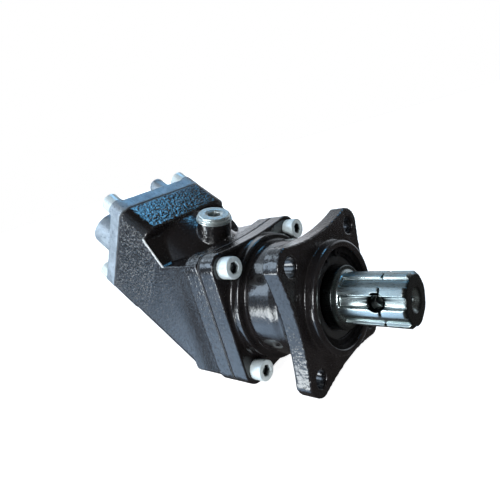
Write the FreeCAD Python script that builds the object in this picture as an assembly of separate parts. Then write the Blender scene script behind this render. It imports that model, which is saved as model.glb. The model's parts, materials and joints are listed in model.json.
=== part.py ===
import FreeCAD, Part
import math
import os

# Bent-axis axial piston hydraulic motor, 97 cm3/rev, with an ISO 7653 four-bolt
# mounting flange and a DIN 5462 8x32x36 splined shaft.
#
# Frame: origin at the centre of the mounting flange's front face, on the shaft
# axis.  +X runs out along the shaft, +Z is up, and the unit is bent in the XZ
# plane, so the barrel housing rises towards -X and +Z.  Millimetres.

# ---- driving dimensions ------------------------------------------------------

BEND = 40.0             # angle between shaft axis and barrel axis, degrees
X_BALLS = -107.0        # plane of the piston ball centres
R_BALLS = 31.0          # radius of the ball circle on the shaft flange
N_PISTONS = 7

BOLT_HALF = 40.0        # mounting holes at +-40
BOLT_R = 6.5
FLANGE_T = 12.6
FLANGE_HALF = 53.3      # half width over the ears
FLANGE_WAIST = 48.3     # centre to the middle of a concave side
PILOT_R = 40.0
PILOT_L = 8.0

NECK_R = 43.5           # bearing housing barrel behind the mounting flange
COLLAR_R = 49.0
COLLAR_X0 = -56.4
COLLAR_X1 = -48.4
JOINT_X = -71.0         # rear face of the front housing
EAR_Y = 41.2            # housing screws
EAR_Z = 41.2
EAR_R = 11.6
GASKET_T = 0.8

BODY_HALF = 48.5        # half width of the main housing
CAVITY_R = 44.0
BARREL_SKIN_R = 47.5
FLOOR_C = -47.4         # underside of the barrel housing, from the barrel axis
FLOOR_Z = -52.0         # underside of the front part
S_BOX = 62.0            # start of the rear square block, along the barrel axis
S_JOINT = 93.3          # joint between main housing and rear cover
COVER_T = 11.0
COVER_HALF = 48.2
COVER_HALF_C = 48.4
SCREW_Y2 = 39.6         # cover screws
SCREW_C2 = 38.8

PORT_Y = 25.8           # the two port bosses run out along the barrel axis
PORT_C = -6.5
PORT_BOSS_R = 17.0
PORT_END = 135.0        # port faces, along the barrel axis from the bend point
BLEED_Y = 11.0
BLEED_C = 41.0
BLEED_END = 118.5
PAD_HIGH = 3.0          # screw pads on the upper and lower half of the cover
PAD_LOW = 0.8
PORT_R = 12.05          # core of a G3/4 thread
PORT_DEPTH = 18.0
CORNER_R = 11.5         # corners of the cover, its gasket and the block behind them

SCREW_D = 10.0          # M10 socket cap screws of the housing and the cover
SCREW_L = 35.0
HEAD_R = 8.0
HEAD_H = 10.0
HEAD_KEY = 8.0
TAPPED_R = 5.05         # tapped hole around a screw's shank

SHAFT_END = 55.0
SPLINE_R = 18.0
SPLINE_ROOT = 16.0
SPLINE_W = 6.0
SPLINE_TURN = -4.5      # rest angle of the first tooth, from -Y towards +Z
JOURNAL_R = 22.5
SHAFT_R2 = 25.0
SHAFT_DISC_R = 42.6
DISC_X0 = -106.5
DISC_X1 = -84.0
END_HOLE_R = 5.2        # bore in the shaft's end, with a wide mouth
MOUTH_R = 8.2
GROOVE_R = 16.4         # ring groove across the teeth
GROOVE_X = (37.9, 39.0)
CROSS_X = 36.3          # oil hole from the splines to the bore
CROSS_R = 4.4
CROSS_TURN = 18.0       # from -Y towards +Z, degrees
R_RETAINER = 17.5       # circle of the retainer screws

BALL_R = 9.0
CUP_IN = 9.03
CUP_OUT = 11.0
SOCKET_R = 11.03
NECK_PISTON = 4.4
PISTON_L = 53.0         # ball centre to ring centre
PISTON_HEAD = 10.45
BORE_R = 10.5
RING_HALF = 1.2

BARREL_R = 42.0
S_BARREL0 = 31.0
S_BORE_END = 77.0
S_BARREL1 = 83.25
S_PLATE0 = 83.3
S_PLATE1 = 91.3
PIN_BALL = 8.0
PIN_R = 7.5

PLUG_TOP = (-93.2, 73.1)
PLUG_RISE = 5.6         # washer and head above the spot face
PLUG_TILT = 22.0        # plug axis, from +Z towards +X
PLUG_BOSS_R = 14.0
PLUG_FOOT_R = 20.5      # the boss widens to this where it meets the casting
PLUG_HOLE_R = 10.05
WASHER_T = 1.2

# ---- derived -----------------------------------------------------------------

V = FreeCAD.Vector
BETA = math.radians(BEND)
ORG = V(X_BALLS, 0, 0)
BDIR = V(-math.cos(BETA), 0, math.sin(BETA))
CDIR = V(math.sin(BETA), 0, math.cos(BETA))
XDIR = V(1, 0, 0)
YDIR = V(0, 1, 0)
R_BORES = R_BALLS * (1 + math.cos(BETA)) / 2
ECC = R_BALLS * (1 - math.cos(BETA)) / 2
GASKET_X = JOINT_X - GASKET_T
S_COVER0 = S_JOINT + GASKET_T           # front and back of the cover plate
S_COVER1 = S_COVER0 + COVER_T


def bp(s, y, c):
    """Point given along the barrel axis, across, and up from the barrel axis."""
    return ORG + BDIR * s + YDIR * y + CDIR * c


def to_barrel(shape):
    """Carry a shape built with local X = barrel axis, Z = c direction."""
    out = shape.copy()
    rot = FreeCAD.Rotation(BDIR, V(0, -1, 0), CDIR, "XYZ")
    out.Placement = FreeCAD.Placement(ORG, rot).multiply(out.Placement)
    return out


def cyl(r, p0, p1):
    """Solid cylinder between two points."""
    d = p1 - p0
    return Part.makeCylinder(r, d.Length, p0, d)


def cylx(r, x0, x1, y=0, z=0):
    return cyl(r, V(x0, y, z), V(x1, y, z))


def tube(r0, r1, x0, x1):
    return cylx(r1, x0, x1).cut(cylx(r0, x0 - 1, x1 + 1))


def box(x0, x1, y0, y1, z0, z1):
    return Part.makeBox(x1 - x0, y1 - y0, z1 - z0, V(x0, y0, z0))


def turn(points):
    """Solid of revolution about local X from (x, r) points."""
    pts = [V(x, 0, r) for x, r in points]
    wire = Part.makePolygon(pts + [pts[0]])
    return Part.Face(wire).revolve(V(0, 0, 0), XDIR, 360)


def plate_x(wire_fn, x0, x1):
    """Extrude an outline drawn in the YZ plane from x0 to x1."""
    face = Part.Face(wire_fn(x0))
    return face.extrude(V(x1 - x0, 0, 0))


def prism_y(points, half):
    """Extrude an XZ polygon symmetrically across y."""
    pts = [V(x, -half, z) for x, z in points]
    face = Part.Face(Part.makePolygon(pts + [pts[0]]))
    return face.extrude(V(0, 2 * half, 0))


def rounded_rect(x, hy, z0, z1, r):
    """Rounded rectangle wire in the plane X = x."""
    k = r * (1 - math.sqrt(0.5))
    corners = ((1, 1, z1), (1, -1, z0), (-1, -1, z0), (-1, 1, z1))
    pts = []
    for sy, sz, z in corners:
        a = V(x, sy * (hy - r), z)
        m = V(x, sy * (hy - k), z - sz * k)
        b = V(x, sy * hy, z - sz * r)
        pts.append((a, m, b) if sy * sz > 0 else (b, m, a))
    edges = []
    for i in range(4):
        a, m, b = pts[i]
        nxt = pts[(i + 1) % 4][0]
        edges.append(Part.Arc(a, m, b).toShape())
        edges.append(Part.LineSegment(b, nxt).toShape())
    return Part.Wire(edges)


def rounded_prism(x0, x1, hy, z0, z1, r):
    face = Part.Face(rounded_rect(x0, hy, z0, z1, r))
    return face.extrude(V(x1 - x0, 0, 0))


def fuse(shapes):
    out = shapes[0]
    for s in shapes[1:]:
        out = out.fuse(s)
    return out.removeSplitter()


def cut(shape, tools):
    for t in tools:
        shape = shape.cut(t)
    return shape


def group(shapes):
    return Part.makeCompound(shapes)


def hex_prism(across_flats, p0, p1, twist=0.0):
    """Hexagonal prism between two points."""
    d = p1 - p0
    r = across_flats / math.sqrt(3)
    pts = []
    for i in range(6):
        a = math.radians(60 * i + twist)
        pts.append(V(r * math.cos(a), r * math.sin(a), 0))
    solid = Part.Face(Part.makePolygon(pts + [pts[0]])).extrude(V(0, 0, d.Length))
    rot = FreeCAD.Rotation(V(0, 0, 1), d)
    solid.Placement = FreeCAD.Placement(p0, rot)
    return solid


def cap_screw(seat, direction, twist):
    """Hex socket cap screw, seat under the head, direction towards the head."""
    n = V(direction)
    n.normalize()
    top = seat + n * HEAD_H
    head = cyl(HEAD_R, seat, top)
    edge = Part.makeCone(HEAD_R + 1, HEAD_R - 1, 2, top - n * 1.2, n)
    rim = cyl(HEAD_R + 3, top - n * 1.2, top + n * 0.8).cut(edge)
    head = head.cut(rim)
    shank = cyl(SCREW_D / 2, seat - n * SCREW_L, seat + n * 0.5)
    socket = hex_prism(HEAD_KEY, top - n * (HEAD_H * 0.55), top + n * 1, twist)
    return head.fuse(shank).removeSplitter().cut(socket)


def ring_points(radius, count, start=0.0):
    out = []
    for i in range(count):
        a = math.radians(start) + 2 * math.pi * i / count
        out.append((radius * math.cos(a), radius * math.sin(a)))
    return out


def corners(half_y, half_z):
    """The four places at +-half_y and +-half_z."""
    return [(y, z) for y in (-half_y, half_y) for z in (-half_z, half_z)]


def retainer_places():
    """Centres of the retainer screws, each between two piston balls."""
    return ring_points(R_RETAINER, N_PISTONS, 90 + 180.0 / N_PISTONS)


BALL_ANGLES = [90.0 + 360.0 * i / N_PISTONS for i in range(N_PISTONS)]

# ---- front housing -----------------------------------------------------------


def mount_outline(x):
    """Four ears with blunt corners joined by concave sides."""
    h = FLANGE_HALF
    w = FLANGE_WAIST
    k = 41.0
    m = 48.9
    edges = []
    for i in range(4):
        a = math.radians(90 * i)
        ca = round(math.cos(a))
        sa = round(math.sin(a))

        def p(u, v):
            return V(x, u * ca - v * sa, u * sa + v * ca)
        edges.append(Part.Arc(p(-k, h), p(0, w), p(k, h)).toShape())
        edges.append(Part.Arc(p(k, h), p(m, m), p(h, k)).toShape())
    return Part.Wire(Part.sortEdges(edges)[0])


def ear_outline(x):
    """Rear flange: rounded ears around the four screws, shallow concave sides."""
    hy = EAR_Y + EAR_R
    hz = EAR_Z + EAR_R
    q = EAR_R * math.sqrt(0.5)
    edges = []
    for sz in (1, -1):
        a = V(x, -EAR_Y, sz * hz)
        b = V(x, EAR_Y, sz * hz)
        edges.append(Part.Arc(a, V(x, 0, sz * 50.4), b).toShape())
    for sy in (1, -1):
        a = V(x, sy * hy, -EAR_Z)
        b = V(x, sy * hy, EAR_Z)
        edges.append(Part.LineSegment(a, b).toShape())
    for sy in (1, -1):
        for sz in (1, -1):
            a = V(x, sy * EAR_Y, sz * hz)
            m = V(x, sy * (EAR_Y + q), sz * (EAR_Z + q))
            b = V(x, sy * hy, sz * EAR_Z)
            edges.append(Part.Arc(a, m, b).toShape())
    return Part.Wire(Part.sortEdges(edges)[0])


def front_housing():
    plate = plate_x(mount_outline, -FLANGE_T, 0)
    ears = plate_x(ear_outline, JOINT_X, COLLAR_X0)
    skin = turn([
        (-77.8, 0), (-77.8, 47.0), (-77.4, 47.4), (JOINT_X, 47.4), (JOINT_X, 48.5),
        (COLLAR_X0, 50.0), (COLLAR_X0 + 1, COLLAR_R), (COLLAR_X1 - 0.8, COLLAR_R),
        (COLLAR_X1, 48.2), (COLLAR_X1, 44.6),
        (-47.2, NECK_R - 0.8), (-45.5, NECK_R), (-26, NECK_R), (-20, 42.6),
        (-15, 43.6), (-12.6, 46.0), (-8, 46.0), (-8, PILOT_R - 0.6), (0.8, PILOT_R - 0.6),
        (1.2, PILOT_R), (PILOT_L - 1, PILOT_R), (PILOT_L, PILOT_R - 1), (PILOT_L, 0)])
    hole = turn([
        (-90, 0), (-90, 45.02), (-52, 45.02), (-52, 40.0), (-46, 40.0), (-44, 31.0),
        (-35, 31.0), (-35, 34.02), (-22, 34.02), (-22, 35.0), (-8.6, 35.0),
        (3.0, 35.0), (3.0, 36.5), (5.05, 36.5), (5.05, 35.0), (7.2, 35.0),
        (9.0, 36.8), (9.0, 0)])
    body = fuse([plate, skin, ears])
    tools = [hole]
    for y, z in corners(BOLT_HALF, BOLT_HALF):
        tools.append(cylx(BOLT_R, -14, 1, y, z))
    for y, z in corners(EAR_Y, EAR_Z):
        tools.append(cylx(SCREW_D / 2 + 0.25, JOINT_X - 1, COLLAR_X0 + 1, y, z))
        tools.append(cylx(HEAD_R + 1.2, COLLAR_X0, COLLAR_X0 + 12, y, z))
    return cut(body, tools)


# ---- main housing ------------------------------------------------------------


def flank_taper():
    """Plan view limit of both flanks: wide at the joint, then an S curve of two arcs
    in to the width of the barrel housing."""
    wide = EAR_Y + EAR_R - 0.2
    x0 = -75.0
    x1 = -119.0
    run = (x0 - x1) / 2
    drop = (wide - BODY_HALF) / 2
    r = (run * run + drop * drop) / (2 * drop)
    half = math.asin(run / r) / 2
    edges = []
    for side in (-1, 1):
        p = [(-60, wide), (x0, wide),
             (x0 - r * math.sin(half), wide - r * (1 - math.cos(half))),
             (x0 - run, wide - drop),
             (x1 + r * math.sin(half), BODY_HALF + r * (1 - math.cos(half))),
             (x1, BODY_HALF), (-260, BODY_HALF)]
        q = [V(x, side * y, -80) for x, y in p]
        edges.append(Part.makeLine(q[0], q[1]))
        edges.append(Part.Arc(q[1], q[2], q[3]).toShape())
        edges.append(Part.Arc(q[3], q[4], q[5]).toShape())
        edges.append(Part.makeLine(q[5], q[6]))
    edges.append(Part.makeLine(V(-60, -wide, -80), V(-60, wide, -80)))
    edges.append(Part.makeLine(V(-260, -BODY_HALF, -80), V(-260, BODY_HALF, -80)))
    wire = Part.Wire(Part.__sortEdges__(edges))
    return Part.Face(wire).extrude(V(0, 0, 300))


def main_shell():
    """Outside shape of the angled barrel housing, before hollowing."""
    flange = plate_x(ear_outline, -86, GASKET_X)
    front = rounded_prism(-119.5, GASKET_X, EAR_Y + EAR_R - 0.2, FLOOR_Z, 100, 14)
    front = front.common(flank_taper())
    front = front.common(to_barrel(rounded_prism(-120, 160, EAR_Y + EAR_R, FLOOR_C, 160, 14)))
    rear = to_barrel(rounded_prism(-40, S_BOX + 1, BODY_HALF, FLOOR_C, 100, 12))
    rear = rear.cut(box(-119, 20, -70, 70, -90, 0))
    low_front = rounded_prism(-240, 0, 60, FLOOR_Z, 140, 12)
    low_rear = to_barrel(rounded_prism(-120, 160, 60, FLOOR_C, 160, 12))
    h0 = bp(38.0, 0, 28.6)
    h1 = bp(S_BOX + 1, 0, 38.6)
    h2 = bp(S_BOX + 1, 0, -70)
    outline = [(GASKET_X, -90), (GASKET_X, 48.4), (-96, 47.4), (h0.x, h0.z), (h1.x, h1.z), (h2.x, h2.z)]
    side = prism_y(outline, 70)
    base = front.fuse(rear).common(low_front).common(low_rear).common(side)
    block = rounded_prism(S_BOX, S_JOINT, BODY_HALF, -COVER_HALF_C, COVER_HALF_C, CORNER_R)
    skin = turn([(-12, 0), (-12, 38), (0, BARREL_SKIN_R), (S_BOX + 1, BARREL_SKIN_R), (S_BOX + 1, 0)])
    hump = cylx(48.6, -114, -85)
    elbow = Part.makeSphere(48.0, ORG).cut(box(-200, 0, -60, 60, -60, 0))
    hump = hump.cut(box(-200, 0, -60, 60, -60, 0))
    body = fuse([base, flange, to_barrel(block), to_barrel(skin), hump, elbow])
    ahead = box(GASKET_X, 60, -120, 120, -140, 160)
    return body.cut(ahead)


def plug_axis():
    a = math.radians(PLUG_TILT)
    return V(math.sin(a), 0, math.cos(a))


def plug_seat():
    """Centre of the spot face under the plug washer."""
    top = V(PLUG_TOP[0], 0, PLUG_TOP[1])
    return top - plug_axis() * PLUG_RISE


def main_housing():
    n = plug_axis()
    seat = plug_seat()
    boss = cyl(PLUG_BOSS_R, seat - n * 29, seat)
    foot = Part.makeCone(PLUG_FOOT_R, PLUG_BOSS_R, 6.0, seat - n * 23, n)
    body = fuse([main_shell(), boss, foot])
    shaft_room = turn([
        (-70, 0), (-70, 47.5), (-79, 47.5), (-79, 44.5), (-109, 44.5), (-114, 41.0), (-114, 0)])
    barrel_room = turn([
        (-8, 0), (-8, 36), (0, CAVITY_R), (S_JOINT + 2, CAVITY_R), (S_JOINT + 2, 0)])
    tools = [shaft_room, to_barrel(barrel_room), Part.makeSphere(44.4, ORG)]
    tools.append(cyl(PLUG_HOLE_R, seat - n * 36, seat + n))
    for y, z in corners(EAR_Y, EAR_Z):
        tools.append(cylx(TAPPED_R, COLLAR_X0 - SCREW_L - 1, -70, y, z))
    for y, c in corners(SCREW_Y2, SCREW_C2):
        tools.append(cyl(TAPPED_R, bp(S_JOINT - 27, y, c), bp(S_JOINT + 2, y, c)))
    return cut(body, tools)


# ---- rear cover --------------------------------------------------------------


def kidney(s0, s1, side, half_w, span):
    """Curved slot on the bore circle, side = +1 or -1 across y."""
    ring = tube(R_BORES - half_w, R_BORES + half_w, s0, s1)
    a = math.radians(span)
    far = 90.0
    pts = [(0, 0), (far * math.cos(a), far * math.sin(a)), (2 * far, 0),
           (far * math.cos(a), -far * math.sin(a))]
    poly = [V(s0 - 1, side * u, v) for u, v in pts]
    face = Part.Face(Part.makePolygon(poly + [poly[0]]))
    sector = face.extrude(V(s1 - s0 + 2, 0, 0))
    slot = ring.common(sector)
    for sv in (-1, 1):
        y = side * R_BORES * math.cos(a)
        z = sv * R_BORES * math.sin(a)
        slot = slot.fuse(cylx(half_w, s0, s1, y, z))
    return slot.removeSplitter()


def cover_blank():
    """Outside shape of the rear cover: plate, spigot, port block and bosses."""
    s0 = S_COVER0
    s1 = S_COVER1
    hc = COVER_HALF_C - 0.3
    plate = rounded_prism(s0, s1, COVER_HALF, -hc, hc, CORNER_R)
    spigot = turn([(S_PLATE1, 0), (S_PLATE1, 43.2), (S_PLATE1 + 0.6, 43.9), (s0, 43.9), (s0, 0)])
    block = rounded_prism(s0, s1 + 12, 39.0, -23.0, 14.0, 12)
    shape = [plate, spigot, block]
    for y in (-PORT_Y, PORT_Y):
        boss = cylx(PORT_BOSS_R, s0, PORT_END - 1.6, y, PORT_C)
        rim = Part.makeCone(PORT_BOSS_R, PORT_BOSS_R - 1.6, 1.6, V(PORT_END - 1.6, y, PORT_C), XDIR)
        foot = Part.makeCone(PORT_BOSS_R + 4.5, PORT_BOSS_R, 5.0, V(s1 - 0.5, y, PORT_C), XDIR)
        shape.extend([boss, rim, foot])
    shape.append(cylx(7.1, s0, BLEED_END - 1.8, -BLEED_Y, BLEED_C))
    shape.append(Part.makeCone(7.1, 5.3, 1.8, V(BLEED_END - 1.8, -BLEED_Y, BLEED_C), XDIR))
    for y in (-SCREW_Y2, SCREW_Y2):
        shape.append(cylx(8.6, s0, s1 + PAD_LOW, y, -SCREW_C2))
        shape.append(cylx(8.6, s0, s1 + PAD_HIGH, y, SCREW_C2))
    return fuse(shape)


def rear_cover():
    tools = [cylx(PIN_R + 0.04, 85, S_PLATE1 + 6)]
    for side in (-1, 1):
        y = side * PORT_Y
        tools.append(cylx(PORT_R, PORT_END - PORT_DEPTH, PORT_END + 1, y, PORT_C))
        lead = V(PORT_END, y, PORT_C)
        tools.append(Part.makeCone(PORT_R + 1.5, PORT_R, 1.5, lead, V(-1, 0, 0)))
        tools.append(cylx(8.0, 98, PORT_END - PORT_DEPTH + 1, y, PORT_C))
        tools.append(kidney(85, 101, side, 5.0, 58))
    for y, c in corners(SCREW_Y2, SCREW_C2):
        tools.append(cylx(SCREW_D / 2 + 0.3, S_COVER0 - 1, S_COVER1 + 5, y, c))
    tools.append(cylx(2.05, 85, S_PLATE1 + 4, 0, -35.5))
    tools.append(cylx(2.5, BLEED_END - 12.5, BLEED_END + 1, -BLEED_Y, BLEED_C))
    return to_barrel(cut(cover_blank(), tools))


# ---- gaskets, washers, plug --------------------------------------------------


def housing_gasket():
    sheet = plate_x(ear_outline, GASKET_X, JOINT_X)
    tools = [cylx(47.8, -75, -70)]
    for y, z in corners(EAR_Y, EAR_Z):
        tools.append(cylx(SCREW_D / 2 + 0.5, -75, -70, y, z))
    return cut(sheet, tools)


def cover_gasket():
    hc = COVER_HALF_C - 0.5
    sheet = rounded_prism(S_JOINT, S_COVER0, COVER_HALF - 0.2, -hc, hc, CORNER_R)
    tools = [cylx(44.2, 90, 100)]
    for y, c in corners(SCREW_Y2, SCREW_C2):
        tools.append(cylx(SCREW_D / 2 + 0.5, 90, 100, y, c))
    return to_barrel(cut(sheet, tools))


def plug_washer():
    n = plug_axis()
    seat = plug_seat()
    return cyl(14.7, seat, seat + n * WASHER_T).cut(cyl(10.3, seat - n, seat + n * 3))


def filler_plug():
    """Flanged hexagon socket screw plug."""
    n = plug_axis()
    base = plug_seat() + n * WASHER_T
    flange = cyl(14.2, base, base + n * 1.7)
    head = cyl(13.2, base + n * 1.2, base + n * 4.4)
    edge = Part.makeCone(13.6, 12.4, 1.2, base + n * 3.2, n)
    head = head.common(edge.fuse(cyl(14, base, base + n * 3.2)))
    thread = cyl(10.0, base - n * 12.5, base + n * 1)
    socket = hex_prism(10.0, base - n * 3.0, base + n * 6, 15)
    dimple = Part.makeCone(7.2, 5.4, 1.0, base + n * 4.4, n * -1)
    return fuse([flange, head, thread]).cut(socket).cut(dimple)


def housing_screws():
    out = []
    for y, z in corners(EAR_Y, EAR_Z):
        out.append(cap_screw(V(COLLAR_X0, y, z), XDIR, 17 * y / 41 + z))
    return group(out)


def cover_screws():
    out = []
    for y, c in corners(SCREW_Y2, SCREW_C2):
        seat = S_COVER1 + (PAD_HIGH if c > 0 else PAD_LOW)
        out.append(cap_screw(bp(seat, y, c), BDIR, y + 2 * c))
    return group(out)


# ---- shaft line --------------------------------------------------------------


def spline_cutters():
    """Eight valleys between straight-sided teeth."""
    keep = cylx(SPLINE_ROOT, 5, 60)
    for i in range(8):
        tooth = box(5, 60, 8, 19, -SPLINE_W / 2, SPLINE_W / 2)
        tooth.rotate(V(0, 0, 0), XDIR, 180.0 - SPLINE_TURN - 45.0 * i)
        keep = keep.fuse(tooth)
    return tube(0.01, 24, 11.5, 60).cut(keep)


def drive_shaft():
    solid = turn([
        (DISC_X0, 0), (DISC_X0, SHAFT_DISC_R - 1.5), (DISC_X0 + 1.5, SHAFT_DISC_R),
        (-93, SHAFT_DISC_R), (-88, 38), (DISC_X1, 33), (DISC_X1, SHAFT_R2 - 0.02),
        (-44, SHAFT_R2 - 0.02), (-43, JOURNAL_R - 0.02), (9.0, JOURNAL_R - 0.02),
        (9.5, JOURNAL_R - 0.5), (9.5, 19.5), (10.5, SPLINE_R), (SHAFT_END - 1.8, SPLINE_R),
        (SHAFT_END, SPLINE_R - 1.8), (SHAFT_END, 0)])
    tools = [spline_cutters()]
    for y, z in ring_points(R_BALLS, N_PISTONS, 90):
        tools.append(Part.makeSphere(SOCKET_R, V(X_BALLS, y, z)))
    tools.append(Part.makeSphere(PIN_BALL + 0.03, ORG))
    for y, z in retainer_places():
        tools.append(cylx(2.55, DISC_X0 - 1, DISC_X0 + 13, y, z))
    tools.append(cylx(END_HOLE_R, 22, SHAFT_END + 1))
    tools.append(Part.makeCone(END_HOLE_R, MOUTH_R, 4.2, V(SHAFT_END - 4.2, 0, 0), XDIR))
    tools.append(tube(GROOVE_R, 20, GROOVE_X[0], GROOVE_X[1]))
    a = math.radians(CROSS_TURN)
    d = V(0, -math.cos(a), math.sin(a))
    c = V(CROSS_X, 0, 0)
    tools.append(cyl(CROSS_R, c, c + d * 22))
    tools.append(Part.makeCone(CROSS_R, CROSS_R + 2.2, 2.2, c + d * 15.0, d))
    return cut(solid, tools)


def shaft_nut():
    ring = cylx(32.5, -19.95, -9).cut(cylx(JOURNAL_R + 0.02, -21, 0))
    rim = tube(30.0, 34, -10.5, -8)
    tools = [rim.cut(cylx(32.4, -11, -7)).cut(cylx(31, -9.8, -7))]
    for i in range(4):
        slot = box(-21, -8, -3.5, 3.5, 29.5, 34)
        slot.rotate(V(0, 0, 0), XDIR, 45 + 90 * i)
        tools.append(slot)
    return cut(ring, tools)


def bearing_spacer():
    return tube(SHAFT_R2 + 0.02, 30.0, -51.95, -35.05)


def taper_set(x_back, sign, width, cup_w, r_bore, r_out, rm, rr, incl, count, length):
    """Cup, cone, rollers and cage of a taper roller bearing on the X axis.

    x_back is the wide face of the inner ring; sign = +1 when that face looks
    towards +X.  Returned in the order cup, cone, rollers, cage."""
    g = math.radians(incl)
    apex = rm / math.tan(g)
    reach = rm / math.sin(g)
    rho = math.asin(rr / reach)
    mid = width * 0.5

    def at(u):
        return x_back - sign * u

    def race(u, ang):
        return (apex + mid - u) * math.tan(ang)
    cup = turn([(at(width), r_out), (at(width - cup_w), r_out),
                (at(width - cup_w), race(width - cup_w, g + rho) + 0.03),
                (at(width), race(width, g + rho) + 0.03)])
    big = rr + math.tan(rho) * length / 2
    end = length / 2 + 0.15
    rib = mid - end * math.cos(g) - (big + 0.03) * math.sin(g)
    rib_out = mid - end * math.cos(g) - (big - 0.7 * rr) * math.sin(g)
    rib_r = rm + end * math.sin(g) - (big - 0.7 * rr) * math.cos(g)
    lip = mid + length * math.cos(g) / 2 + 0.35
    cone = turn([(at(0), r_bore), (at(0), rib_r),
                 (at(rib_out), rib_r), (at(rib), race(rib, g - rho) - 0.03),
                 (at(lip), race(lip, g - rho) - 0.03), (at(lip), race(lip, g - rho) + rr * 0.3),
                 (at(width), race(width, g - rho) + rr * 0.3), (at(width), r_bore)])
    rollers = []
    pockets = []
    for y, z in ring_points(1.0, count):
        centre = V(at(mid), y * rm, z * rm)
        tip = V(at(mid) - sign * apex, 0, 0)
        d = centre - tip
        d.normalize()
        big = rr + math.tan(rho) * length / 2
        small = rr - math.tan(rho) * length / 2
        start = centre - d * (length / 2)
        rollers.append(Part.makeCone(small, big, length, start, d))
        start = centre - d * (length / 2 + 0.4)
        pockets.append(Part.makeCone(small + 0.35, big + 0.35, length + 0.8, start, d))
    e = length * math.cos(g) / 2 + 1.0
    t = 0.55
    cage = turn([(at(mid + e), race(mid + e, g) + 0.35 - t), (at(mid - e), race(mid - e, g) + 0.35 - t),
                 (at(mid - e), race(mid - e, g) + 0.35 + t), (at(mid + e), race(mid + e, g) + 0.35 + t)])
    return cup, cone, group(rollers), cut(cage, pockets)


def front_bearing():
    return taper_set(-20.0, 1, 15.0, 12.0, JOURNAL_R, 34.0, 28.3, 2.55, 9.0, 20, 9.6)


def rear_bearing():
    return taper_set(DISC_X1, -1, 32.0, 24.5, SHAFT_R2, 45.0, 35.6, 4.3, 12.0, 18, 20.0)


def seal_carrier():
    ring = turn([
        (-8.0, 26.5), (-8.0, 34.4), (-7.4, 34.96), (2.95, 34.96), (2.95, 29.4),
        (2.4, 29.02), (-7.0, 29.02), (-7.0, 26.5)])
    return ring.cut(tube(32.4, 36, -3.4, -0.4))


def carrier_oring():
    return Part.makeTorus(33.72, 1.1, V(-1.9, 0, 0), XDIR)


def shaft_seal():
    """Rotary lip seal with an outer dust lip."""
    return turn([
        (-6.9, 29.0), (1.6, 29.0), (1.6, 24.2), (0.9, 22.55), (0.5, 22.55), (0.2, 24.6),
        (-1.6, 25.4), (-3.4, 24.6), (-4.6, 22.55), (-5.0, 22.55), (-6.2, 24.4), (-5.6, 25.6),
        (-3.2, 26.2), (-1.6, 27.2), (-6.9, 27.2)])


def retaining_ring():
    """Internal circlip with a gap and two eyes, opening towards +Z."""
    ring = cylx(36.4, 3.1, 4.9).cut(cyl(32.0, V(2, 0, -0.8), V(6, 0, -0.8)))
    gap = box(2, 6, -6.0, 6.0, 20, 40)
    ring = ring.cut(gap)
    shape = [ring]
    for side in (-1, 1):
        shape.append(cylx(3.4, 3.1, 4.9, side * 8.6, 30.6))
    body = fuse(shape)
    for side in (-1, 1):
        body = body.cut(cylx(1.25, 2, 6, side * 8.6, 30.2))
    return body


def retainer_plate():
    """Disc that holds the piston balls in the shaft flange."""
    x0 = X_BALLS - 4.0
    disc = turn([(x0, 0), (x0, 40.5), (x0 + 1, 41.5), (DISC_X0 - 0.02, 41.5), (DISC_X0 - 0.02, 0)])
    tools = [cylx(11.0, x0 - 1, DISC_X0 + 1)]
    for y, z in ring_points(R_BALLS, N_PISTONS, 90):
        tools.append(Part.makeSphere(BALL_R + 0.03, V(X_BALLS, y, z)))
        tools.append(cylx(11.4, X_BALLS - 0.3, DISC_X0 + 1, y, z))
        tools.append(cylx(8.45, x0 - 1, X_BALLS, y, z))
        tools.append(Part.makeCone(10.9, 8.45, 2.3, V(x0, y, z), XDIR))
    for y, z in retainer_places():
        tools.append(cylx(2.7, x0 - 1, DISC_X0 + 1, y, z))
        tools.append(Part.makeCone(4.75, 2.7, 2.6, V(x0, y, z), XDIR))
    return cut(disc, tools)


def retainer_screws():
    """Countersunk socket screws of the retainer."""
    out = []
    x0 = X_BALLS - 3.9
    for y, z in retainer_places():
        head = Part.makeCone(4.6, 2.5, 2.5, V(x0, y, z), XDIR)
        shank = cylx(2.5, x0 + 2.4, x0 + 15, y, z)
        key = hex_prism(3.0, V(x0 - 1, y, z), V(x0 + 1.6, y, z))
        out.append(head.fuse(shank).removeSplitter().cut(key))
    return group(out)


# ---- rotating group ----------------------------------------------------------


def cylinder_barrel():
    body = turn([
        (S_BARREL0, 0), (S_BARREL0, 39.5), (S_BARREL0 + 2.5, BARREL_R), (80, BARREL_R),
        (81.5, 40.5), (S_BARREL1, 40.5), (S_BARREL1, 0)])
    tools = [cylx(PIN_R + 0.04, 30, 90), cylx(14.0, 30, 46)]
    tools.append(tube(41.4, 45, 58, 61))
    for i in range(N_PISTONS):
        a = math.radians(BALL_ANGLES[i])
        y = -R_BORES * math.cos(a)
        z = R_BORES * math.sin(a)
        tools.append(cylx(BORE_R, 30, S_BORE_END, y, z))
        tools.append(Part.makeCone(BORE_R + 0.8, BORE_R, 0.8, V(S_BARREL0, y, z), XDIR))
        port = cylx(4.6, 75.5, 85, y, z)
        for k in (-1, 1):
            b = a + k * 0.17
            port = port.fuse(cylx(4.6, 75.5, 85, -R_BORES * math.cos(b), R_BORES * math.sin(b)))
        tools.append(port)
    return to_barrel(cut(body, tools))


def valve_plate():
    back = S_PLATE1 - 0.05
    disc = turn([(S_PLATE0, 0), (S_PLATE0, 40), (S_PLATE0 + 1, 41), (back, 41), (back, 0)])
    tools = [cylx(PIN_R + 0.04, 80, 100)]
    for side in (-1, 1):
        tools.append(kidney(80, 100, side, 5.0, 58))
    tools.append(cylx(2.05, 86.5, 97, 0, -35.5))
    return to_barrel(cut(disc, tools))


def valve_pin():
    return to_barrel(cylx(2.0, 86.8, 94.8, 0, -35.5))


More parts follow.
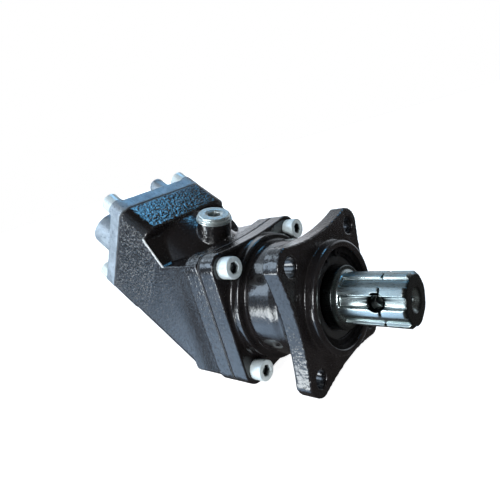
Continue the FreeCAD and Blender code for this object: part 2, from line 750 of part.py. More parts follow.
def centre_pin():
    """Ball-ended pin that carries the barrel, with a collar for the springs."""
    ball = Part.makeSphere(PIN_BALL, ORG)
    stem = to_barrel(turn([
        (0, 0), (0, 4.6), (13, 4.6), (18, PIN_R), (30, PIN_R), (32, 13.6), (35.4, 13.6), (35.4, PIN_R),
        (95.5, PIN_R), (96.5, PIN_R - 1), (96.5, 0)]))
    return ball.fuse(stem).removeSplitter()


def disc_springs():
    """Stack of conical spring washers, alternating."""
    out = []
    for i in range(5):
        s = 35.5 + 2.08 * i
        lift = 0.5
        a = s if i % 2 == 0 else s + lift
        b = s + lift if i % 2 == 0 else s
        out.append(to_barrel(turn([(a, 7.8), (a + 1.45, 7.8), (b + 1.45, 13.6), (b, 13.6)])))
    return group(out)


def ball_centre(i):
    a = math.radians(BALL_ANGLES[i])
    return V(X_BALLS, R_BALLS * math.cos(a), R_BALLS * math.sin(a))


def piston_direction(i):
    """From the ball centre to the ring centre, which sits on the bore axis."""
    a = math.radians(BALL_ANGLES[i])
    reach = math.sqrt(PISTON_L ** 2 - ECC ** 2)
    d = BDIR * reach - YDIR * (ECC * math.cos(a)) + CDIR * (ECC * math.sin(a))
    d.normalize()
    return d


def along(shape, i):
    """Carry a shape built on local X out of the ball centre onto piston i."""
    out = shape.copy()
    rot = FreeCAD.Rotation(XDIR, piston_direction(i))
    out.Placement = FreeCAD.Placement(ball_centre(i), rot)
    return out


def piston(i):
    h = 3.2
    ball = Part.makeSphere(BALL_R, V(0, 0, 0))
    rod = turn([(0, 0), (0, NECK_PISTON), (11.2, NECK_PISTON), (14, 5.4), (PISTON_L - 8, 8.4),
                (PISTON_L - 2.5, 8.8), (PISTON_L - 2.5, 0)])
    head = Part.makeSphere(PISTON_HEAD, V(PISTON_L, 0, 0))
    head = head.common(cylx(20, PISTON_L - h, PISTON_L + h))
    groove = tube(8.6, 14, PISTON_L - RING_HALF - 0.1, PISTON_L + RING_HALF + 0.1)
    body = fuse([ball, rod, head])
    return along(body.cut(groove).cut(cylx(1.5, -12, 70)), i)


def piston_ring(i):
    ball = Part.makeSphere(BORE_R - 0.03, V(PISTON_L, 0, 0))
    ring = ball.common(tube(8.8, 14, PISTON_L - RING_HALF, PISTON_L + RING_HALF))
    return along(ring, i)


def ball_cup(i):
    """Bearing liner between a piston ball and its socket in the shaft flange."""
    c = ball_centre(i)
    shell = Part.makeSphere(CUP_OUT, c).cut(Part.makeSphere(CUP_IN, c))
    half = box(c.x + 0.05, c.x + 20, c.y - 20, c.y + 20, c.z - 20, c.z + 20)
    shell = shell.common(half)
    return shell.cut(cylx(2.0, c.x, c.x + 20, c.y, c.z))


# ---- write out ---------------------------------------------------------------


def main():
    front_cup, front_cone, front_rollers, front_cage = front_bearing()
    rear_cup, rear_cone, rear_rollers, rear_cage = rear_bearing()
    parts = {
        "front_housing": front_housing(),
        "main_housing": main_housing(),
        "rear_cover": rear_cover(),
        "housing_gasket": housing_gasket(),
        "cover_gasket": cover_gasket(),
        "filler_plug": filler_plug(),
        "plug_washer": plug_washer(),
        "housing_screws": housing_screws(),
        "cover_screws": cover_screws(),
        "drive_shaft": drive_shaft(),
        "shaft_nut": shaft_nut(),
        "bearing_spacer": bearing_spacer(),
        "front_bearing_cup": front_cup,
        "front_bearing_cone": front_cone,
        "front_bearing_rollers": front_rollers,
        "front_bearing_cage": front_cage,
        "rear_bearing_cup": rear_cup,
        "rear_bearing_cone": rear_cone,
        "rear_bearing_rollers": rear_rollers,
        "rear_bearing_cage": rear_cage,
        "seal_carrier": seal_carrier(),
        "carrier_oring": carrier_oring(),
        "shaft_seal": shaft_seal(),
        "retaining_ring": retaining_ring(),
        "retainer_plate": retainer_plate(),
        "retainer_screws": retainer_screws(),
        "cylinder_barrel": cylinder_barrel(),
        "valve_plate": valve_plate(),
        "valve_pin": valve_pin(),
        "centre_pin": centre_pin(),
        "disc_springs": disc_springs(),
    }
    for i in range(N_PISTONS):
        parts["piston_%d" % (i + 1)] = piston(i)
        parts["piston_ring_%d" % (i + 1)] = piston_ring(i)
        parts["ball_cup_%d" % (i + 1)] = ball_cup(i)
    os.makedirs("parts", exist_ok=True)
    for name in parts:
        shape = parts[name]
        shape.exportStep("parts/" + name + ".step")
        b = shape.BoundBox
        print(name, len(shape.Solids), shape.isValid(), round(shape.Volume, 1),
              [round(v, 1) for v in (b.XMin, b.XMax, b.YMin, b.YMax, b.ZMin, b.ZMax)])


main()
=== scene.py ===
import json
import math

import bpy
import numpy as np
from mathutils import Matrix, Vector, noise

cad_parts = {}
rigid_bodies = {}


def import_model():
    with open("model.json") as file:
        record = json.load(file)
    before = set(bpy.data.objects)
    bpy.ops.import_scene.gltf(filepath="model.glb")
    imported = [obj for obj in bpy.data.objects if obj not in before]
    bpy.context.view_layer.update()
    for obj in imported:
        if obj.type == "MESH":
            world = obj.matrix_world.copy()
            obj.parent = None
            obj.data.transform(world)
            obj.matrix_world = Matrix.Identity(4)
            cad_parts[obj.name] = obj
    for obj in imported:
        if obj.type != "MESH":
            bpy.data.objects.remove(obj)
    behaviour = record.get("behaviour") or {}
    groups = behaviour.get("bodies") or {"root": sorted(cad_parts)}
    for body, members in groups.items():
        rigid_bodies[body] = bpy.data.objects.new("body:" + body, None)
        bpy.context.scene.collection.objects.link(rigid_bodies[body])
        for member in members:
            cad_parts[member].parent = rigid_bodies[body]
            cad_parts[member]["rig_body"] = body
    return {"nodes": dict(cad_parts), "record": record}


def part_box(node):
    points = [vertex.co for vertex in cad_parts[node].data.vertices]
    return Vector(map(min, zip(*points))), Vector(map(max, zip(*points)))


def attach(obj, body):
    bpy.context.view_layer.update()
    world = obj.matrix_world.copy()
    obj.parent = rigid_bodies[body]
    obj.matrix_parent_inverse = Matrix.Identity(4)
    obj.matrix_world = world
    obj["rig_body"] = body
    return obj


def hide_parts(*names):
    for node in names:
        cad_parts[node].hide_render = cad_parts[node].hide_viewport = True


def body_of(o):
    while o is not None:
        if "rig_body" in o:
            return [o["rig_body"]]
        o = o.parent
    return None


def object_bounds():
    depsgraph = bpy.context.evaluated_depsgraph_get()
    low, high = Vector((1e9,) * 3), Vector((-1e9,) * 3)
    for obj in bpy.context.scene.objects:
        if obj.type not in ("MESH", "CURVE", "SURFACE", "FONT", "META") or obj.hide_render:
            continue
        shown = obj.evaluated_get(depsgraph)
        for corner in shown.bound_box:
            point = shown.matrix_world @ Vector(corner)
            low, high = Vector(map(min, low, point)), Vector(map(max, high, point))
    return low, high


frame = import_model()
CAD_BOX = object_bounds()
NODES = frame["nodes"]
MM = 0.001

# ---- material helpers ---------------------------------------------------------


def new_material(name, **values):
    """A Principled material with its constant values set on the shader's sockets."""
    mat = bpy.data.materials.new(name)
    mat.use_nodes = True
    shader = mat.node_tree.nodes["Principled BSDF"]
    for key, value in values.items():
        shader.inputs[key.replace("_", " ")].default_value = value
    return mat


def node(mat, kind, **settings):
    made = mat.node_tree.nodes.new(kind)
    for key, value in settings.items():
        setattr(made, key, value)
    return made


def link(mat, a, b):
    mat.node_tree.links.new(a, b)


def shader_of(mat):
    return mat.node_tree.nodes["Principled BSDF"]


def coords(mat, scale=(1, 1, 1)):
    """Object coordinates in metres, stretched by scale."""
    tex = node(mat, "ShaderNodeTexCoord")
    mapping = node(mat, "ShaderNodeMapping")
    mapping.inputs["Scale"].default_value = scale
    link(mat, tex.outputs["Object"], mapping.inputs["Vector"])
    return mapping.outputs["Vector"]


def noise_tex(mat, vector, scale, detail=3.0, roughness=0.55):
    tex = node(mat, "ShaderNodeTexNoise")
    tex.inputs["Scale"].default_value = scale
    tex.inputs["Detail"].default_value = detail
    tex.inputs["Roughness"].default_value = roughness
    link(mat, vector, tex.inputs["Vector"])
    return tex.outputs["Fac"]


def ramp(mat, factor, stops):
    """A colour ramp; stops are (position, colour or grey value)."""
    made = node(mat, "ShaderNodeValToRGB")
    elements = made.color_ramp.elements
    while len(elements) < len(stops):
        elements.new(0.5)
    for element, (position, value) in zip(elements, stops):
        element.position = position
        colour = value if isinstance(value, tuple) else (value, value, value)
        element.color = (*colour, 1.0)
    link(mat, factor, made.inputs["Fac"])
    return made.outputs["Color"]


def mix_colour(mat, factor, a, b):
    """From a to b by factor; each is a colour or a socket."""
    made = node(mat, "ShaderNodeMix", data_type="RGBA")
    link(mat, factor, made.inputs[0])
    for socket, value in ((made.inputs[6], a), (made.inputs[7], b)):
        if isinstance(value, tuple):
            socket.default_value = (*value, 1.0)
        else:
            link(mat, value, socket)
    return made.outputs[2]


def bump(mat, height, distance, strength=1.0, previous=None):
    made = node(mat, "ShaderNodeBump")
    made.inputs["Distance"].default_value = distance
    made.inputs["Strength"].default_value = strength
    link(mat, height, made.inputs["Height"])
    if previous is not None:
        link(mat, previous, made.inputs["Normal"])
    return made.outputs["Normal"]


def attribute(mat, name):
    return node(mat, "ShaderNodeAttribute", attribute_name=name).outputs["Fac"]


def times(mat, a, b):
    made = node(mat, "ShaderNodeMath", operation="MULTIPLY")
    link(mat, a, made.inputs[0])
    link(mat, b, made.inputs[1])
    return made.outputs[0]


def crevice_shade(mat, reach, stops):
    """Painted shade: dark in holes and corners, by how much of the sky a point sees."""
    made = node(mat, "ShaderNodeAmbientOcclusion")
    made.inputs["Distance"].default_value = reach
    made.samples = 8
    return ramp(mat, made.outputs["AO"], stops)


def multiply_colour(mat, a, b):
    made = node(mat, "ShaderNodeMix", data_type="RGBA", blend_type="MULTIPLY")
    made.inputs[0].default_value = 1.0
    link(mat, a, made.inputs[6])
    link(mat, b, made.inputs[7])
    return made.outputs[2]


def pimples(mat, vector, scale):
    """Small round bumps, as loose sand grains leave on a casting."""
    cells = node(mat, "ShaderNodeTexVoronoi")
    cells.inputs["Scale"].default_value = scale
    link(mat, vector, cells.inputs["Vector"])
    return ramp(mat, cells.outputs["Distance"], [(0.05, 1.0), (0.42, 0.0)])


def black_paint():
    """Glossy black enamel over sand-cast iron, worn to brownish grey in patches on its edges,
    with a near-white painted highlight along the shoulder ridge, where the skin's attribute marks
    it."""
    mat = new_material("black_paint", Metallic=0.0, Coat_Weight=0.5, Coat_Roughness=0.05)
    shader = shader_of(mat)
    at = coords(mat)
    dark, pale = (0.006, 0.005, 0.005), (0.014, 0.012, 0.012)
    base = ramp(mat, noise_tex(mat, at, 60.0, 4.0), [(0.3, dark), (0.7, pale)])
    pointed = node(mat, "ShaderNodeNewGeometry").outputs["Pointiness"]
    edge = ramp(mat, pointed, [(0.54, 0.0), (0.60, 1.0)])
    patchy = ramp(mat, noise_tex(mat, at, 160.0, 5.0, 0.7), [(0.53, 0.0), (0.66, 1.0)])
    worn = mix_colour(mat, patchy, (0.0, 0.0, 0.0), edge)
    painted = mix_colour(mat, worn, base, (0.10, 0.082, 0.075))
    # painted highlight: near-white along the shoulder ridge beside the filler plug
    with_ridge_highlight = mix_colour(mat, attribute(mat, "painted_highlight"), painted, (0.80, 0.83, 0.83))
    link(mat, with_ridge_highlight, shader.inputs["Base Color"])
    grain = noise_tex(mat, at, 1000.0, 3.0)
    link(mat, ramp(mat, grain, [(0.3, 0.10), (0.75, 0.30)]), shader.inputs["Roughness"])
    rough = attribute(mat, "rough")
    pits = noise_tex(mat, at, 430.0, 1.5, 0.5)
    coarse = bump(mat, times(mat, pits, rough), 0.00042, 1.0)
    fine = bump(mat, times(mat, pimples(mat, at, 420.0), rough), 0.00022, 1.0, coarse)
    link(mat, fine, shader.inputs["Normal"])
    link(mat, fine, shader.inputs["Coat Normal"])
    return mat


def cast_aluminium():
    """Silver-grey as-cast skin with a bluish cast, darker pores and painted shade in its hollows.
    """
    mat = new_material("cast_aluminium", Metallic=0.65)
    shader = shader_of(mat)
    at = coords(mat)
    blotch = noise_tex(mat, at, 110.0, 5.0)
    base = ramp(mat, blotch, [(0.3, (0.26, 0.30, 0.34)), (0.7, (0.46, 0.52, 0.57))])
    pores = ramp(mat, noise_tex(mat, at, 700.0, 3.0, 0.6), [(0.30, 0.45), (0.42, 1.0)])
    # painted shade in holes and corners, multiplied in with the real pores
    painted_shade = crevice_shade(mat, 8 * MM, [(0.25, 0.15), (0.8, 1.0)])
    for stain_and_shade in (pores, painted_shade):
        base = multiply_colour(mat, base, stain_and_shade)
    link(mat, base, shader.inputs["Base Color"])
    grain = noise_tex(mat, at, 1600.0, 3.0)
    link(mat, ramp(mat, grain, [(0.3, 0.36), (0.7, 0.58)]), shader.inputs["Roughness"])
    coarse = bump(mat, noise_tex(mat, at, 420.0, 4.0, 0.65), 0.0006, 0.5)
    link(mat, bump(mat, grain, 0.0003, 0.5, coarse), shader.inputs["Normal"])
    return mat


def zinc(name, metallic, low, high):
    """Bright zinc plate, dulled in patches, with painted shade in its sockets and corners."""
    mat = new_material(name, Metallic=metallic)
    shader = shader_of(mat)
    at = coords(mat)
    base = ramp(mat, noise_tex(mat, at, 300.0, 4.0), [(0.35, low), (0.7, high)])
    # painted shade in the sockets and where heads meet other parts
    painted_shade = crevice_shade(mat, 10 * MM, [(0.30, 0.01), (0.46, 1.0)])
    link(mat, multiply_colour(mat, base, painted_shade), shader.inputs["Base Color"])
    dull = ramp(mat, noise_tex(mat, at, 900.0, 3.0), [(0.3, 0.25), (0.7, 0.45)])
    link(mat, dull, shader.inputs["Roughness"])
    link(mat, bump(mat, noise_tex(mat, at, 1800.0, 2.0), 0.0001, 0.35), shader.inputs["Normal"])
    return mat


def steel(name, low, high, rough=(0.22, 0.4), stretch=(0.15, 1, 1), bump_mm=0.04):
    """Machined steel with marks drawn out along the shaft axis."""
    mat = new_material(name, Metallic=1.0)
    shader = shader_of(mat)
    at = coords(mat, stretch)
    base = ramp(mat, noise_tex(mat, at, 260.0, 5.0, 0.65), [(0.3, low), (0.7, high)])
    link(mat, base, shader.inputs["Base Color"])
    fine = noise_tex(mat, at, 1500.0, 3.0)
    link(mat, ramp(mat, fine, [(0.3, rough[0]), (0.7, rough[1])]), shader.inputs["Roughness"])
    link(mat, bump(mat, fine, bump_mm * MM, 0.5), shader.inputs["Normal"])
    return mat


def shaft_steel():
    """Ground and hobbed steel, darker towards the seal and towards the tip, with painted shade
    in its hollows and in the cross hole, where the skin's attribute marks it."""
    mat = steel("shaft_steel", (0.46, 0.53, 0.52), (0.64, 0.72, 0.71),
                rough=(0.24, 0.34), stretch=(0.08, 1, 1), bump_mm=0.012)
    shader = shader_of(mat)
    bright = shader.inputs["Base Color"].links[0].from_socket
    split = node(mat, "ShaderNodeSeparateXYZ")
    link(mat, node(mat, "ShaderNodeTexCoord").outputs["Object"], split.inputs[0])
    along = node(mat, "ShaderNodeMapRange")
    along.inputs["From Min"].default_value = 0.0
    along.inputs["From Max"].default_value = 60 * MM
    link(mat, split.outputs["X"], along.inputs["Value"])
    # darker towards the seal and towards the tip
    ends = [(0.150, 0.10), (0.185, 1.0), (0.885, 1.0), (0.905, 0.16)]
    darker_ends = ramp(mat, along.outputs["Result"], ends)
    # painted shade in hollows
    painted_shade = crevice_shade(mat, 5 * MM, [(0.42, 0.01), (0.78, 1.0)])
    # painted shade inside the cross hole
    painted_hole_shade = ramp(mat, attribute(mat, "shade_in_hole"), [(0.0, 1.0), (1.0, 0.01)])
    for stain_and_shade in (darker_ends, painted_shade, painted_hole_shade):
        bright = multiply_colour(mat, bright, stain_and_shade)
    link(mat, bright, shader.inputs["Base Color"])
    return mat


def soft(name, low, high, rough=(0.45, 0.7)):
    """Rubber and fibre: matt, with a faint grain."""
    mat = new_material(name, Metallic=0.0)
    shader = shader_of(mat)
    at = coords(mat)
    base = ramp(mat, noise_tex(mat, at, 700.0, 4.0), [(0.3, low), (0.7, high)])
    link(mat, base, shader.inputs["Base Color"])
    grain = noise_tex(mat, at, 2500.0, 2.0)
    link(mat, ramp(mat, grain, [(0.3, rough[0]), (0.7, rough[1])]), shader.inputs["Roughness"])
    link(mat, bump(mat, grain, 0.0001, 0.4), shader.inputs["Normal"])
    return mat


MATERIALS = {
    "black_paint": black_paint(),
    "cast_aluminium": cast_aluminium(),
    "zinc": zinc("zinc", 0.28, (0.66, 0.74, 0.75), (0.80, 0.88, 0.88)),
    "plug_zinc": zinc("plug_zinc", 0.85, (0.50, 0.56, 0.55), (0.74, 0.80, 0.79)),
    "shaft_steel": shaft_steel(),
    "ground_steel": steel("ground_steel", (0.26, 0.29, 0.28), (0.50, 0.54, 0.53)),
    "dark_steel": steel("dark_steel", (0.03, 0.03, 0.032), (0.10, 0.10, 0.105), (0.35, 0.6)),
    "bronze": steel("bronze", (0.42, 0.27, 0.11), (0.66, 0.45, 0.20)),
    "gasket": soft("gasket", (0.04, 0.04, 0.04), (0.10, 0.10, 0.10)),
    "rubber": soft("rubber", (0.012, 0.012, 0.012), (0.03, 0.03, 0.03), (0.3, 0.5)),
}
SLOTS = {row["node"]: row["material_slot"] for row in frame["record"]["subparts"]}


def wear(obj, slot):
    obj.data.materials.clear()
    obj.data.materials.append(MATERIALS[slot])


for name, obj in NODES.items():
    wear(obj, SLOTS[name])

# ---- cast skins ---------------------------------------------------------------

SHAFT = Vector((1, 0, 0))                       # along the shaft
TILT = math.radians(40.0)                       # barrel axis above the shaft axis
BEND = Vector((-107.0 * MM, 0, 0))              # where the two axes cross
BARREL = Vector((-math.cos(TILT), 0, math.sin(TILT)))
ACROSS = Vector((math.sin(TILT), 0, math.cos(TILT)))
PLUG_LEAN = math.radians(22.0)                  # filler plug, from +Z towards +X
BOLT_HALF = 40.0 * MM                           # flange bolt holes, off the axis each way
BOLT_RIM = 7.4 * MM
FLANGE_BACK = -14.0 * MM
JOINT_X = -70.3 * MM                            # joint between the two housings
CAST_X = -72.2 * MM                             # main housing: sand-cast from here back,
CAST_END = 93.5 * MM                            # up to here along the barrel,
CAST_R = 46.2 * MM                              # and outside this radius about either axis
CROSS_HOLE = Vector((36.3 * MM, 0, 0))
CROSS_LEAN = math.radians(18.0)                 # cross hole, from -Y towards +Z
RIDGE_Y = 48.6 * MM                             # flank of the barrel housing
RIDGE_ENDS = ((38.0 * MM, 28.6 * MM), (63.0 * MM, 38.6 * MM))   # along and across the barrel
# how far the painted highlight reaches from the ridge line
RIDGE_WIDTH = 1.15 * MM
# Length and height of the waves that add up to the sand-cast grain
WAVES = ((2.2 * MM, 0.09 * MM), (5.0 * MM, 0.10 * MM), (14.0 * MM, 0.12 * MM))


def evaluated_mesh(obj):
    bpy.context.view_layer.update()
    deps = bpy.context.evaluated_depsgraph_get()
    return bpy.data.meshes.new_from_object(obj.evaluated_get(deps))


def vertex_array(mesh, kind):
    values = np.empty(len(mesh.vertices) * 3, dtype=np.float32)
    mesh.vertices.foreach_get(kind, values)
    return values.reshape(-1, 3).astype(np.float64)


def radius_about(points, origin, axis):
    """Distance of each point from an axis, and how far along it."""
    rel = points - np.array(origin)
    along = rel @ np.array(axis)
    return np.linalg.norm(rel - along[:, None] * np.array(axis), axis=1), along


def mark(mesh, name, field):
    """Stores a field (0 to 1, from points and normals) at each vertex, for the materials."""
    values = field(vertex_array(mesh, "co"), vertex_array(mesh, "normal"))
    layer = mesh.attributes.new(name, "FLOAT", "POINT")
    layer.data.foreach_set("value", values.astype(np.float32))


def sand_grain(mesh, rough):
    """Pushes the vertices in and out along their normals, as far as rough (0 to 1) allows."""
    points = vertex_array(mesh, "co")
    normals = vertex_array(mesh, "normal")
    height = np.zeros(len(points))
    for index, (length, size) in enumerate(WAVES):
        shift = Vector((17.0 * index, 5.0, -3.0))
        height += size * np.array([noise.noise(Vector(p) / length + shift) for p in points])
    points += normals * (height * rough(points, normals))[:, None]
    mesh.vertices.foreach_set("co", points.astype(np.float32).ravel())
    mesh.update()


def cast_skin(name, voxel, softness, rough, budget):
    """The node's shape again with soft edges, and a sand-cast surface where rough says so.
    The mesh is thinned to the budget of triangles."""
    source = NODES[name]
    obj = bpy.data.objects.new(name + "_cast", source.data.copy())
    obj.data.transform(source.matrix_world)
    bpy.context.scene.collection.objects.link(obj)
    remesh = obj.modifiers.new("remesh", "REMESH")
    remesh.mode = "VOXEL"
    remesh.voxel_size = voxel
    smooth = obj.modifiers.new("smooth", "SMOOTH")
    smooth.factor = 0.5
    smooth.iterations = softness
    mesh = evaluated_mesh(obj)
    obj.modifiers.clear()
    obj.data = mesh
    sand_grain(mesh, rough)
    faces = sum(len(p.vertices) - 2 for p in mesh.polygons)
    if faces > budget:
        thin = obj.modifiers.new("thin", "DECIMATE")
        thin.ratio = budget / faces
        mesh = evaluated_mesh(obj)
        obj.modifiers.clear()
        obj.data = mesh
    mark(mesh, "rough", rough)
    mesh.name = name + "_cast"
    mesh.shade_smooth()
    wear(obj, SLOTS[name])
    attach(obj, body_of(source)[0])
    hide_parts(name)
    return obj


def rough_front(points, normals):
    """Rough on the flange and the ears, less on the turned neck, and smooth in the bore and
    the bolt holes."""
    r, x = radius_about(points, (0, 0, 0), SHAFT)
    behind = x < -0.5 * MM
    flange = behind & (x > FLANGE_BACK) & (r > 42.0 * MM)
    ears = (x < -58.0 * MM) & (x > JOINT_X) & (r > 47.5 * MM)
    face = ~behind & (r > 41.0 * MM)
    neck = behind & (x > JOINT_X) & (r > 34.0 * MM)
    off_bolt = np.hypot(np.abs(points[:, 1]) - BOLT_HALF, np.abs(points[:, 2]) - BOLT_HALF)
    hole = (off_bolt < BOLT_RIM) & (x > FLANGE_BACK)
    return np.select([hole, flange | ears | face, neck], [0.03, 0.45, 0.16], 0.03)


def rough_main(points, normals):
    """Roughest over the barrel, less on the front of the flanks, the plug's boss and the
    shoulder beside it, and nearly smooth inside and round the front corners."""
    r, x = radius_about(points, (0, 0, 0), SHAFT)
    r_barrel, s = radius_about(points, BEND, BARREL)
    z = points[:, 2]
    outside = np.where(s > 0, r_barrel, r) > CAST_R
    top = (normals @ np.array(ACROSS) > 0.4) & (z > 30.0 * MM)
    lower = (normals[:, 2] < -0.4) & (z < -30.0 * MM)
    cast = (outside | top | lower) & (x < CAST_X) & (s < CAST_END)
    low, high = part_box("filler_plug")
    plug_axis = (math.sin(PLUG_LEAN), 0, math.cos(PLUG_LEAN))
    r_plug, up = radius_about(points, (low + high) / 2, plug_axis)
    boss = (r_plug < 16.0 * MM) & (up > -25.0 * MM)
    side = np.abs(normals[:, 1])
    flank = side > 0.94
    beside = ~flank & (normals[:, 2] > 0.2) & (x < -92.0 * MM)
    shoulder = beside & (s > 20.0 * MM) & (s < 62.0 * MM)
    corner = cast & ~flank & (side > 0.25) & (normals[:, 0] > 0.25) & (x < -88.0 * MM)
    flat = cast & flank & (s < 46.0 * MM)
    return np.select([boss, shoulder, corner, flat, cast], [0.60, 0.25, 0.12, 0.55, 1.0], 0.12)


def rough_cover(points, normals):
    """Sand-cast, and nearly smooth at the machined joint face."""
    _, s = radius_about(points, BEND, BARREL)
    return np.where(s > 96.5 * MM, 1.0, 0.1)


def smooth_all(points, normals):
    return np.zeros(len(points))


def ridge_highlight_line(points, normals):
    """Painted highlight: a near-white line along the shoulder edge beside the filler plug."""
    start, stop = (np.array(BEND + BARREL * s + ACROSS * c) for s, c in RIDGE_ENDS)
    start[1] = stop[1] = -RIDGE_Y
    run = stop - start
    t = np.clip((points - start) @ run / (run @ run), 0.0, 1.0)
    gap = np.linalg.norm(points - start - t[:, None] * run, axis=1)
    return np.clip((RIDGE_WIDTH - gap) / (0.5 * MM), 0.0, 1.0)


def cross_hole(points, normals):
    """Painted shade inside the shaft's cross hole."""
    axis = (0, -math.cos(CROSS_LEAN), math.sin(CROSS_LEAN))
    r, up = radius_about(points, CROSS_HOLE, axis)
    return ((r < 6.2 * MM) & (up > 5.0 * MM) & (up < 17.4 * MM)).astype(float)


# Node, voxel in mm, smoothing steps, roughness and most triangles of each skin
SKINS = [
    ("front_housing", 0.75, 3, rough_front, 190000),
    ("main_housing", 0.85, 4, rough_main, 190000),
    ("rear_cover", 0.75, 3, rough_cover, 190000),
    ("housing_screws", 0.4, 1, smooth_all, 90000),
    ("cover_screws", 0.4, 1, smooth_all, 90000),
    ("filler_plug", 0.25, 1, smooth_all, 90000),
    ("drive_shaft", 0.4, 1, smooth_all, 190000),
]
skins = {}
for name, voxel_mm, softness, rough, budget in SKINS:
    skins[name] = cast_skin(name, voxel_mm * MM, softness, rough, budget)

# painted highlight along the shoulder ridge
mark(skins["main_housing"].data, "painted_highlight", ridge_highlight_line)
# painted shade inside the shaft's cross hole
mark(skins["drive_shaft"].data, "shade_in_hole", cross_hole)
skins["drive_shaft"].data.materials[0] = MATERIALS["shaft_steel"]
for obj in (skins["filler_plug"], NODES["plug_washer"]):
    obj.data.materials[0] = MATERIALS["plug_zinc"]

# ---- floor, light and camera --------------------------------------------------

FLOOR_HALF = 6.0        # metres
FLOOR_GAP = 0.5 * MM


def make_floor():
    """A white floor just under the part, left out of reflections so that it doesn't fill
    the gloss with white."""
    mesh = bpy.data.meshes.new("floor")
    r = FLOOR_HALF
    z = CAD_BOX[0].z - FLOOR_GAP
    mesh.from_pydata([(-r, -r, z), (r, -r, z), (r, r, z), (-r, r, z)], [], [(0, 1, 2, 3)])
    floor = bpy.data.objects.new("floor", mesh)
    bpy.context.scene.collection.objects.link(floor)
    white = new_material("floor", Base_Color=(0.9, 0.9, 0.9, 1), Roughness=0.9,
                         Emission_Color=(1, 1, 1, 1), Emission_Strength=0.92)
    mesh.materials.append(white)
    floor.visible_glossy = False


# Soft lights of the room: direction from the part, half angles in degrees of the full
# glow and of its faded edge, and colour
GLOWS = [
    ((-0.64, -0.56, 0.50), 8, 16, (3.1, 3.9, 4.8)),       # window on the left
    ((-0.65, -0.12, 0.75), 5, 11, (2.4, 2.9, 3.4)),       # its upper pane
    ((-0.60, -0.64, -0.50), 8, 26, (0.9, 1.25, 1.7)),     # pale bench below it
    ((-0.52, -0.84, -0.14), 6, 13, (10.0, 10.7, 11.0)),   # lamp on the bench
    ((-0.60, -0.75, 0.10), 20, 75, (0.33, 0.45, 0.59)),   # lit room on the left
    ((0.15, -0.91, 0.38), 5, 17, (14.0, 14.6, 15.0)),     # lamp above the viewer
    ((-0.09, 0.48, 0.87), 2, 11, (1.6, 5.2, 9.2)),        # blue sky in a roof light
    ((-0.45, 0.65, 0.60), 10, 28, (0.22, 0.24, 0.26)),    # grey wall behind
    ((-0.88, 0.25, 0.30), 16, 46, (0.70, 0.84, 0.98)),    # pale wall at the far end
    ((-0.67, 0.71, 0.12), 10, 30, (0.19, 0.14, 0.12)),    # brown crates behind
    ((-0.35, 0.90, -0.20), 12, 34, (0.75, 0.85, 0.95)),   # low window behind
    ((0.25, 0.95, 0.20), 8, 26, (0.75, 0.82, 0.90)),      # its other half
]
AMBIENT = (0.050, 0.047, 0.046)
WIDE = 50                                       # a glow wider than this is broken up by clutter
CLUTTER = ((0.40, 0.12), (0.56, 0.9), (0.68, 3.2))      # noise level, and light let through
CLUTTER_SCALE = 4.5
CLUTTER_DETAIL = 4.0


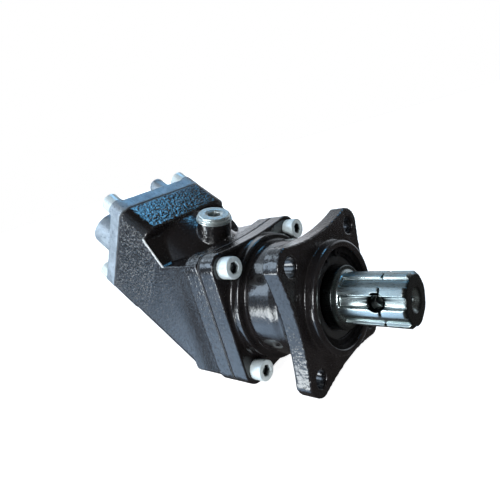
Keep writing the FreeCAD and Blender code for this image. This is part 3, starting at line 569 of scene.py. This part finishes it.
def make_world():
    """White to the camera. For light and gloss it is a dim room with a few soft glows."""
    world = bpy.data.worlds.new("studio")
    bpy.context.scene.world = world
    world.use_nodes = True
    tree = world.node_tree
    back = tree.nodes["Background"]
    tex = tree.nodes.new("ShaderNodeTexCoord")

    def vector_math(operation, *inputs):
        made = tree.nodes.new("ShaderNodeVectorMath")
        made.operation = operation
        for socket, value in zip(made.inputs, inputs):
            if isinstance(value, bpy.types.NodeSocket):
                tree.links.new(value, socket)
            else:
                socket.default_value = value
        return made

    def glow(direction, inner, outer, colour):
        dot = vector_math("DOT_PRODUCT", tex.outputs["Generated"], Vector(direction).normalized())
        spread = tree.nodes.new("ShaderNodeMapRange")
        spread.interpolation_type = "SMOOTHSTEP"
        spread.inputs["From Min"].default_value = math.cos(math.radians(outer))
        spread.inputs["From Max"].default_value = math.cos(math.radians(inner))
        tree.links.new(dot.outputs["Value"], spread.inputs["Value"])
        scaled = vector_math("SCALE", colour)
        tree.links.new(spread.outputs["Result"], scaled.inputs["Scale"])
        return scaled.outputs["Vector"]

    clutter = tree.nodes.new("ShaderNodeTexNoise")
    clutter.inputs["Scale"].default_value = CLUTTER_SCALE
    clutter.inputs["Detail"].default_value = CLUTTER_DETAIL
    tree.links.new(tex.outputs["Generated"], clutter.inputs["Vector"])
    shade = tree.nodes.new("ShaderNodeValToRGB")
    shade.color_ramp.elements.new(0.5)
    for element, (position, value) in zip(shade.color_ramp.elements, CLUTTER):
        element.position = position
        element.color = (value, value, value, 1.0)
    tree.links.new(clutter.outputs["Fac"], shade.inputs["Fac"])

    total = AMBIENT
    for direction, inner, outer, colour in GLOWS:
        light = glow(direction, inner, outer, colour)
        if outer > WIDE:
            light = vector_math("MULTIPLY", light, shade.outputs["Color"]).outputs["Vector"]
        total = vector_math("ADD", light, total).outputs["Vector"]
    path = tree.nodes.new("ShaderNodeLightPath")
    mix = tree.nodes.new("ShaderNodeMix")
    mix.data_type = "RGBA"
    tree.links.new(path.outputs["Is Camera Ray"], mix.inputs[0])
    tree.links.new(total, mix.inputs[6])
    mix.inputs[7].default_value = (1, 1, 1, 1)
    tree.links.new(mix.outputs[2], back.inputs["Color"])


LENS = 28.855           # mm, on a 36 mm wide sensor
SHIFT = (0.0216, -0.0013)
EYE = Vector((145.35, -224.34, 117.03)) * MM
RIGHT = Vector((0.72657, 0.62451, -0.28651))    # the camera's own axes
DOWN = Vector((-0.05005, -0.36777, -0.92857))
FORWARD = Vector((-0.68527, 0.68901, -0.23595))


def make_camera():
    data = bpy.data.cameras.new("camera")
    data.sensor_width = 36.0
    data.lens = LENS
    data.shift_x, data.shift_y = SHIFT
    data.clip_start = 0.01
    camera = bpy.data.objects.new("camera", data)
    bpy.context.scene.collection.objects.link(camera)
    turn = Matrix((RIGHT, -DOWN, -FORWARD)).transposed().to_4x4()
    camera.matrix_world = Matrix.Translation(EYE) @ turn
    bpy.context.scene.camera = camera


make_floor()
make_world()
make_camera()
bpy.context.scene.view_settings.view_transform = "Standard"
